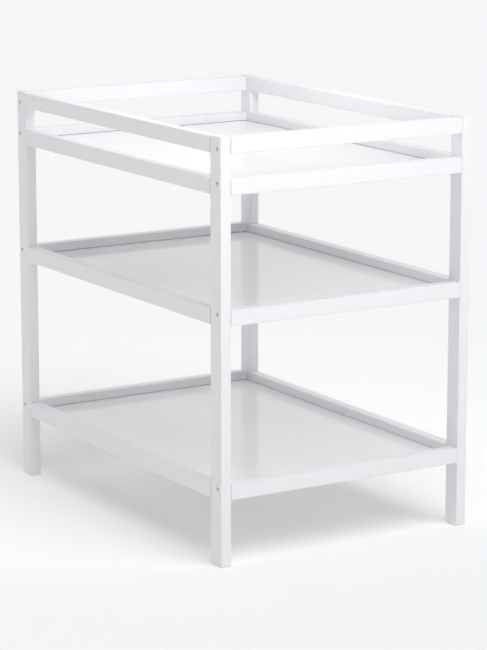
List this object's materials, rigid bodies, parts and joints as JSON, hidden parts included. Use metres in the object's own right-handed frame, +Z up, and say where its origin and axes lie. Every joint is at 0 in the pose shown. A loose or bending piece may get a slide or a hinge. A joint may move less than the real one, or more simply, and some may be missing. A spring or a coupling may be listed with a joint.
{
  "type": "changing table",
  "caption": "Open white wooden changing table: posts, rails on all sides at every level, a railed changing deck and two shelves, bolted together.",
  "frame": {"origin": "centre of the footprint, on the floor", "axes": "+Z up, +X to the right across the short side, +Y along the long side to the back; the side frames stand at -X and +X, the cross rails at -Y and +Y"},
  "size_m": [0.61, 0.878, 0.88],
  "materials": {
    "painted_posts": "satin white paint on solid wood",
    "painted_rails": "satin white paint on solid wood",
    "painted_panels": "semi-gloss white lacquer on fibreboard",
    "beech_dowels": "bare fluted beech",
    "zinc_bolts": "bright zinc plate",
    "zinc_nuts": "bright zinc plate"
  },
  "bodies": {
    "root": {"post_front_left": "painted_posts", "post_front_right": "painted_posts", "post_back_left": "painted_posts", "post_back_right": "painted_posts", "guard_rail_left": "painted_rails", "guard_rail_right": "painted_rails", "guard_rail_front": "painted_rails", "guard_rail_back": "painted_rails", "deck_rail_left": "painted_rails", "deck_rail_right": "painted_rails", "deck_rail_front": "painted_rails", "deck_rail_back": "painted_rails", "mid_rail_left": "painted_rails", "mid_rail_right": "painted_rails", "mid_rail_front": "painted_rails", "mid_rail_back": "painted_rails", "low_rail_left": "painted_rails", "low_rail_right": "painted_rails", "low_rail_front": "painted_rails", "low_rail_back": "painted_rails", "changing_deck": "painted_panels", "mid_shelf": "painted_panels", "low_shelf": "painted_panels", "left_frame_dowels": "beech_dowels", "right_frame_dowels": "beech_dowels", "front_rail_dowels": "beech_dowels", "back_rail_dowels": "beech_dowels", "left_bolts": "zinc_bolts", "right_bolts": "zinc_bolts", "front_barrel_nuts": "zinc_nuts", "back_barrel_nuts": "zinc_nuts"}
  },
  "joints": []
}
